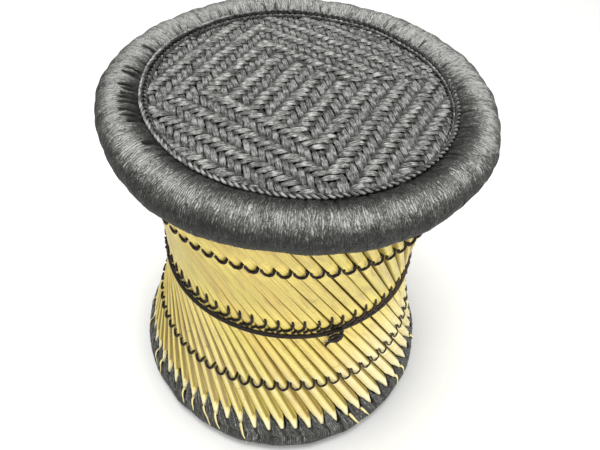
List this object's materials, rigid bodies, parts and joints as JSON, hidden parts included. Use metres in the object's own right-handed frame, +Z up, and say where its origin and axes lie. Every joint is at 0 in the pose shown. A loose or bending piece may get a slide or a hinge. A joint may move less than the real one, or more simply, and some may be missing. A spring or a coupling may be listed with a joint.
{
  "type": "mudda stool",
  "caption": "Round cane stool with an hourglass wall of leaning canes, cord ties at the waist, a padded wound rim, a wound floor ring and a twill-woven cord seat.",
  "frame": {"origin": "middle of the footprint, on the floor", "axes": "+Z up through the middle of the seat, -Y towards the front, which has the waist knot on its right"},
  "size_m": [0.4, 0.398, 0.423],
  "materials": {
    "outer_cane": "satin, glossy cane skin",
    "inner_cane": "satin cane skin",
    "wound_cord": "satin, finely fibrous",
    "woven_cord": "satin, finely fibrous",
    "twine": "matte twisted twine",
    "grass": "matte dry grass"
  },
  "bodies": {
    "root": {"outer_canes_01": "outer_cane", "outer_canes_02": "outer_cane", "outer_canes_03": "outer_cane", "outer_canes_04": "outer_cane", "outer_canes_05": "outer_cane", "outer_canes_06": "outer_cane", "outer_canes_07": "outer_cane", "outer_canes_08": "outer_cane", "outer_canes_09": "outer_cane", "outer_canes_10": "outer_cane", "outer_canes_11": "outer_cane", "outer_canes_12": "outer_cane", "outer_canes_13": "outer_cane", "outer_canes_14": "outer_cane", "outer_canes_15": "outer_cane", "outer_canes_16": "outer_cane", "outer_canes_17": "outer_cane", "outer_canes_18": "outer_cane", "outer_canes_19": "outer_cane", "outer_canes_20": "outer_cane", "outer_canes_21": "outer_cane", "outer_canes_22": "outer_cane", "outer_canes_23": "outer_cane", "outer_canes_24": "outer_cane", "outer_canes_25": "outer_cane", "outer_canes_26": "outer_cane", "outer_canes_27": "outer_cane", "outer_canes_28": "outer_cane", "outer_canes_29": "outer_cane", "outer_canes_30": "outer_cane", "outer_canes_31": "outer_cane", "outer_canes_32": "outer_cane", "outer_canes_33": "outer_cane", "inner_canes_01": "inner_cane", "inner_canes_02": "inner_cane", "inner_canes_03": "inner_cane", "inner_canes_04": "inner_cane", "inner_canes_05": "inner_cane", "inner_canes_06": "inner_cane", "inner_canes_07": "inner_cane", "inner_canes_08": "inner_cane", "inner_canes_09": "inner_cane", "inner_canes_10": "inner_cane", "inner_canes_11": "inner_cane", "upper_tie_cord": "twine", "waist_tie_cord": "twine", "lower_tie_cord": "twine", "upper_inner_tie_cord": "twine", "waist_inner_tie_cord": "twine", "lower_inner_tie_cord": "twine", "waist_band_cord": "twine", "waist_knot": "twine", "rim_winding": "wound_cord", "base_winding": "wound_cord", "outer_border_cord": "wound_cord", "inner_border_cord": "wound_cord", "rim_grass_core": "grass", "base_grass_core": "grass", "seat_mat": "woven_cord"}
  },
  "joints": []
}
